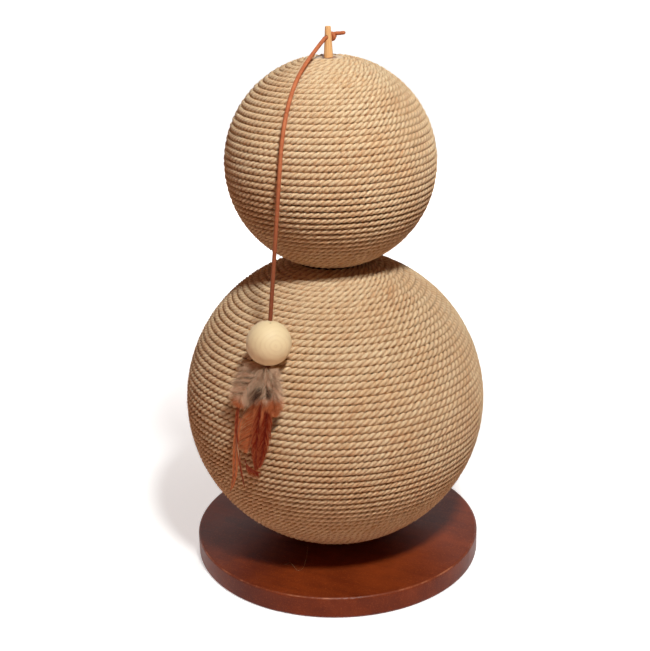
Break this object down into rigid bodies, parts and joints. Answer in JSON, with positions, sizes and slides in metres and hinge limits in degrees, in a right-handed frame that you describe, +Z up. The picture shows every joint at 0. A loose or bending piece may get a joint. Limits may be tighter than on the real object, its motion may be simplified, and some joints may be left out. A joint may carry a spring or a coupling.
{
  "type": "cat scratcher",
  "caption": "Cat scratcher of stacked sisal-wound balls on a round wooden board, with a peg on top that holds a corded toy of a wooden bead and feathers.",
  "frame": {"origin": "centre of the board's underside", "axes": "+Z up the post, -Y towards the hanging toy"},
  "size_m": [0.2, 0.2084, 0.356],
  "materials": {
    "board_wood": "satin mahogany stain",
    "post_wood": "raw",
    "peg_wood": "raw, smooth",
    "bead_wood": "raw, fine sanded",
    "sisal_rope": "twisted natural fibre",
    "core_foam": "matte",
    "glue": "set glue",
    "screw_steel": "zinc",
    "cord_leather": "suede lace",
    "feather_rust": "vane",
    "feather_down": "down"
  },
  "bodies": {
    "stand": {"base_board": "board_wood", "base_screw": "screw_steel", "screw_washer": "screw_steel", "center_post": "post_wood", "big_core_lower": "core_foam", "big_core_upper": "core_foam", "small_core_lower": "core_foam", "small_core_upper": "core_foam", "big_rope_lower": "sisal_rope", "big_rope_middle": "sisal_rope", "big_rope_upper": "sisal_rope", "small_rope_lower": "sisal_rope", "small_rope_upper": "sisal_rope", "peg": "peg_wood", "glue_collar": "glue", "peg_knot": "cord_leather", "cord_tail": "cord_leather", "cord_in_peg": "cord_leather"},
    "lead": {"cord_lead": "cord_leather"},
    "drop": {"cord_drop": "cord_leather", "bead_knot": "cord_leather"},
    "slider": {"bead": "bead_wood"},
    "plume": {"feather_long_left": "feather_rust", "feather_long_middle": "feather_rust", "feather_broad_left": "feather_rust", "feather_short_right": "feather_rust", "feather_down_left": "feather_down", "feather_down_right": "feather_down", "feather_down_middle": "feather_down"}
  },
  "joints": [
    {"name": "cord_slew", "type": "hinge", "parent": "stand", "child": "lead", "pos_m": [0, 0, 0.3495], "axis": [0, 0, 1], "range_deg": [-100, 80]},
    {"name": "drop_swing", "type": "hinge", "parent": "lead", "child": "drop", "pos_m": [0, -0.06751, 0.28648], "axis": [-1, 0, 0], "range_deg": [0, 60]},
    {"name": "bead_slide", "type": "slide", "parent": "drop", "child": "slider", "axis": [0, 0.2098, 0.9777], "range_m": [0, 0.06]},
    {"name": "plume_swing", "type": "hinge", "parent": "drop", "child": "plume", "pos_m": [0, -0.09335, 0.16604], "axis": [-1, 0, 0], "range_deg": [0, 35]}
  ]
}
